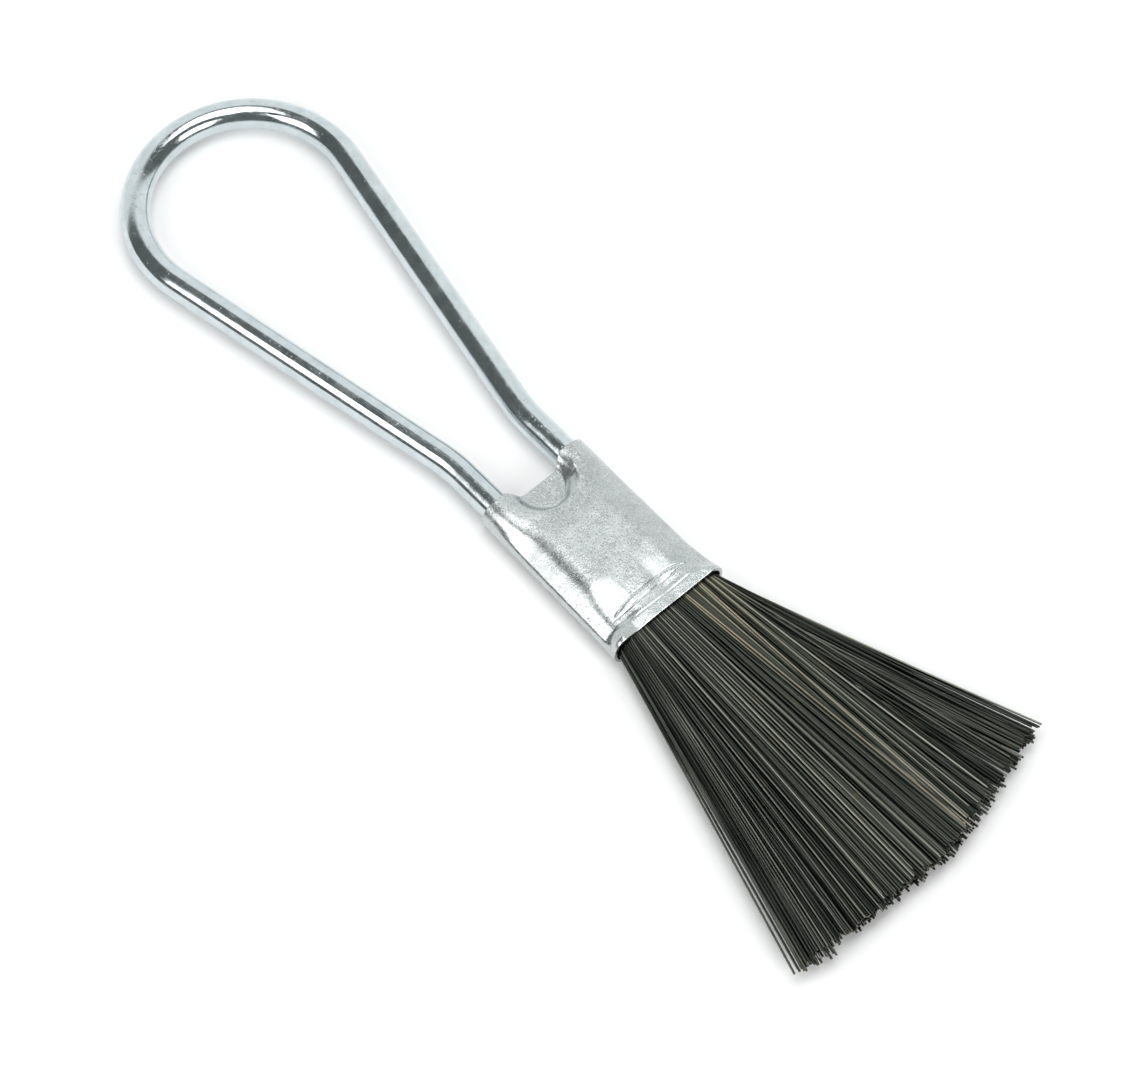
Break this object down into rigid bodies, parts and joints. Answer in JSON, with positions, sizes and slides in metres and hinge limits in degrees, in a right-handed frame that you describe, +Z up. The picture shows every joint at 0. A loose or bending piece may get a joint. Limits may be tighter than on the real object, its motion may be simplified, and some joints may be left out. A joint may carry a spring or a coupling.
{
  "type": "wire brush",
  "caption": "Hand wire brush: a bent-rod handle with a teardrop hanging loop, a pressed sheet ferrule and a flat flared fan of springy steel wires.",
  "frame": {"origin": "on the table, under the middle of the brush's bounding box", "axes": "+X from the handle loop to the wire tips, +Z up from the face the brush lies on, +Y across the fan"},
  "size_m": [0.2052, 0.0648, 0.0075],
  "materials": {
    "rod": "bright zinc plate, smooth, with fine scratches and pits",
    "ferrule_sheet": "dull galvanised, mottled, soft highlights",
    "bristle_wire": "dark oiled drawn steel with bright streaks and a trace of rust"
  },
  "bodies": {
    "brush_body": {"handle_loop": "rod", "ferrule": "ferrule_sheet", "tuft_1_root": "bristle_wire", "tuft_2_root": "bristle_wire", "tuft_3_root": "bristle_wire", "tuft_4_root": "bristle_wire", "tuft_5_root": "bristle_wire", "tuft_6_root": "bristle_wire", "tuft_7_root": "bristle_wire", "tuft_8_root": "bristle_wire", "tuft_9_root": "bristle_wire"},
    "tuft_1": {"tuft_1_top": "bristle_wire", "tuft_1_middle": "bristle_wire", "tuft_1_bottom": "bristle_wire"},
    "tuft_2": {"tuft_2_top": "bristle_wire", "tuft_2_middle": "bristle_wire", "tuft_2_bottom": "bristle_wire"},
    "tuft_3": {"tuft_3_top": "bristle_wire", "tuft_3_middle": "bristle_wire", "tuft_3_bottom": "bristle_wire"},
    "tuft_4": {"tuft_4_top": "bristle_wire", "tuft_4_middle": "bristle_wire", "tuft_4_bottom": "bristle_wire"},
    "tuft_5": {"tuft_5_top": "bristle_wire", "tuft_5_middle": "bristle_wire", "tuft_5_bottom": "bristle_wire"},
    "tuft_6": {"tuft_6_top": "bristle_wire", "tuft_6_middle": "bristle_wire", "tuft_6_bottom": "bristle_wire"},
    "tuft_7": {"tuft_7_top": "bristle_wire", "tuft_7_middle": "bristle_wire", "tuft_7_bottom": "bristle_wire"},
    "tuft_8": {"tuft_8_top": "bristle_wire", "tuft_8_middle": "bristle_wire", "tuft_8_bottom": "bristle_wire"},
    "tuft_9": {"tuft_9_top": "bristle_wire", "tuft_9_middle": "bristle_wire", "tuft_9_bottom": "bristle_wire"}
  },
  "joints": [
    {"name": "tuft_1_flex", "type": "hinge", "parent": "brush_body", "child": "tuft_1", "pos_m": [0.03966, -0.01219, 0.00375], "axis": [-0.2345, -0.9721, 0], "range_deg": [0, 25], "stiffness_Nm_per_rad": 0.9},
    {"name": "tuft_2_flex", "type": "hinge", "parent": "brush_body", "child": "tuft_2", "pos_m": [0.03973, -0.00938, 0.00375], "axis": [-0.1383, -0.9904, 0], "range_deg": [0, 25], "stiffness_Nm_per_rad": 0.9},
    {"name": "tuft_3_flex", "type": "hinge", "parent": "brush_body", "child": "tuft_3", "pos_m": [0.03975, -0.00668, 0.00375], "axis": [-0.0707, -0.9975, 0], "range_deg": [0, 25], "stiffness_Nm_per_rad": 0.9},
    {"name": "tuft_4_flex", "type": "hinge", "parent": "brush_body", "child": "tuft_4", "pos_m": [0.03976, -0.00405, 0.00375], "axis": [-0.0222, -0.9998, 0], "range_deg": [0, 25], "stiffness_Nm_per_rad": 0.9},
    {"name": "tuft_5_flex", "type": "hinge", "parent": "brush_body", "child": "tuft_5", "pos_m": [0.03976, -0.00146, 0.00375], "axis": [0.0175, -0.9998, 0], "range_deg": [0, 25], "stiffness_Nm_per_rad": 0.9},
    {"name": "tuft_6_flex", "type": "hinge", "parent": "brush_body", "child": "tuft_6", "pos_m": [0.03975, 0.00114, 0.00375], "axis": [0.0588, -0.9983, 0], "range_deg": [0, 25], "stiffness_Nm_per_rad": 0.9},
    {"name": "tuft_7_flex", "type": "hinge", "parent": "brush_body", "child": "tuft_7", "pos_m": [0.03974, 0.00379, 0.00375], "axis": [0.1123, -0.9937, 0], "range_deg": [0, 25], "stiffness_Nm_per_rad": 0.9},
    {"name": "tuft_8_flex", "type": "hinge", "parent": "brush_body", "child": "tuft_8", "pos_m": [0.03969, 0.00652, 0.00375], "axis": [0.188, -0.9822, 0], "range_deg": [0, 25], "stiffness_Nm_per_rad": 0.9},
    {"name": "tuft_9_flex", "type": "hinge", "parent": "brush_body", "child": "tuft_9", "pos_m": [0.03959, 0.00937, 0.00375], "axis": [0.2947, -0.9556, 0], "range_deg": [0, 25], "stiffness_Nm_per_rad": 0.9}
  ]
}
